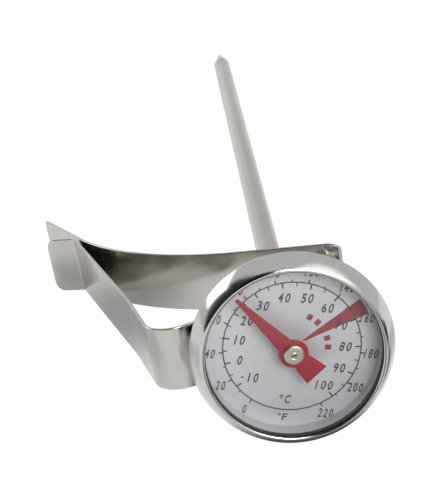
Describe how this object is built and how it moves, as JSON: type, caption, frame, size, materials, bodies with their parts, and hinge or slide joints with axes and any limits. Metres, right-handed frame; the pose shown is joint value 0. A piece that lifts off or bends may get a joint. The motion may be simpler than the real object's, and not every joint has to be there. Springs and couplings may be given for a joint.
{
  "type": "dial thermometer",
  "caption": "Round dial thermometer with a long pointed stem and a bent spring-steel clip that slides along the stem and grips a jug wall.",
  "frame": {"origin": "centre of the lens's flat outer face, on the stem's axis", "axes": "+Y along the stem from the lens towards the point, +Z across the clip strip, +X away from the clip's jaw"},
  "size_m": [0.0542, 0.2027, 0.0296],
  "materials": {
    "polished_steel": "polished stainless steel with fine turning marks",
    "lens": "clear, flat and glossy",
    "gasket": "matt black",
    "dial": "satin silver with printed black scales",
    "spring_steel": "bright rolled spring steel",
    "stem_steel": "drawn stainless tube, fine lengthwise lines",
    "brass": "turned",
    "bimetal": "dull rolled strip",
    "pointer_red": "satin red paint",
    "hub": "turned, pale"
  },
  "bodies": {
    "probe": {"stem_bush": "brass", "calibration_nut": "polished_steel", "stem_tube": "stem_steel", "stem_tip": "stem_steel", "upper_guide_bush": "brass", "lower_guide_bush": "brass", "helix_anchor": "brass", "bimetal_helix": "bimetal"},
    "head": {"bezel_ring": "polished_steel", "lens": "lens", "lens_gasket": "gasket", "dial_spacer": "polished_steel", "dial_plate": "dial", "case_cup": "polished_steel", "friction_washer": "spring_steel"},
    "needle": {"pointer_shaft": "stem_steel", "pointer": "pointer_red", "pointer_hub": "hub"},
    "clip_front": {"clip_front_arm": "spring_steel"},
    "clip_back": {"clip_back_arm": "spring_steel"}
  },
  "joints": [
    {"name": "head_turn", "type": "hinge", "parent": "probe", "child": "head", "pos_m": [0, 0.004, 0], "axis": [0, 1, 0], "continuous": true},
    {"name": "needle_turn", "type": "hinge", "parent": "probe", "child": "needle", "pos_m": [0, 0.002, 0], "axis": [0, 1, 0], "range_deg": [-101, 198], "stiffness_Nm_per_rad": 0.00005},
    {"name": "clip_slide", "type": "slide", "parent": "probe", "child": "clip_front", "axis": [0, 1, 0], "range_m": [0, 0.15]},
    {"name": "clip_jaw", "type": "hinge", "parent": "clip_front", "child": "clip_back", "pos_m": [0.01045, 0.0221, 0], "axis": [0, 0, -1], "range_deg": [0, 8], "stiffness_Nm_per_rad": 1}
  ]
}
